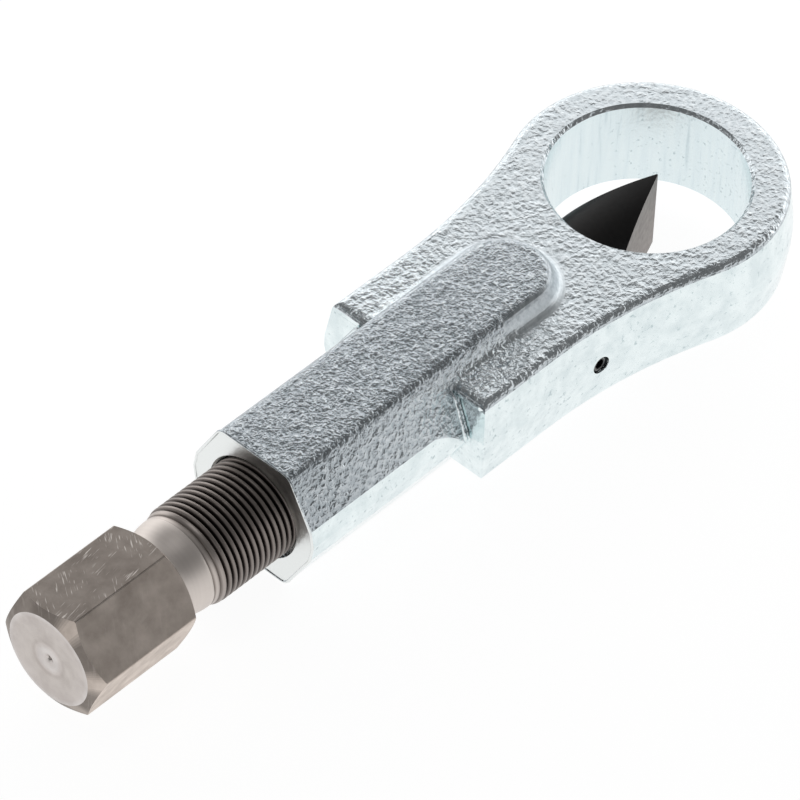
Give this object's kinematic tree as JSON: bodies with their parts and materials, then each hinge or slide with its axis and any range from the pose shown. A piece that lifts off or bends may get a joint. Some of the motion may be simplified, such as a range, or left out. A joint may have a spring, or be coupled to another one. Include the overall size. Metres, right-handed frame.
{
  "type": "nut splitter",
  "caption": "Screw-driven nut splitter: a forged ring frame goes over a seized nut, and turning the hexagon spindle pushes a wedge chisel through the nut's side.",
  "frame": {"origin": "centre of the ring's bore, at mid thickness of the ring", "axes": "+X along the spindle axis, the way the chisel advances, so the spindle's hexagon lies at -X; +Z along the ring's bore; +Y across the wings, with the guide screw on the -Y side"},
  "size_m": [0.1998, 0.06, 0.03],
  "materials": {
    "zinc_forging": "bright zinc plated, rough as forged on the faces and smooth on the sides",
    "spindle_steel": "plain machined, oiled",
    "ball_steel": "polished hardened steel",
    "chisel_steel": "black oxide with ground wedge faces",
    "screw_steel": "black oxide"
  },
  "bodies": {
    "frame": {"body": "zinc_forging", "guide_screw": "screw_steel"},
    "chisel": {"chisel": "chisel_steel", "thrust_ball": "ball_steel"},
    "spindle": {"spindle": "spindle_steel"}
  },
  "joints": [
    {"name": "chisel_slide", "type": "slide", "parent": "frame", "child": "chisel", "axis": [1, 0, 0], "range_m": [-0.024, 0.015]},
    {"name": "spindle_turn", "type": "hinge", "parent": "chisel", "child": "spindle", "pos_m": [-0.1, 0, 0], "axis": [1, 0, 0], "range_deg": [-5760, 3600]}
  ],
  "couplings": [
    {"joint": "chisel_slide", "follows": "spindle_turn", "m_per_rad": 0.00023873}
  ]
}
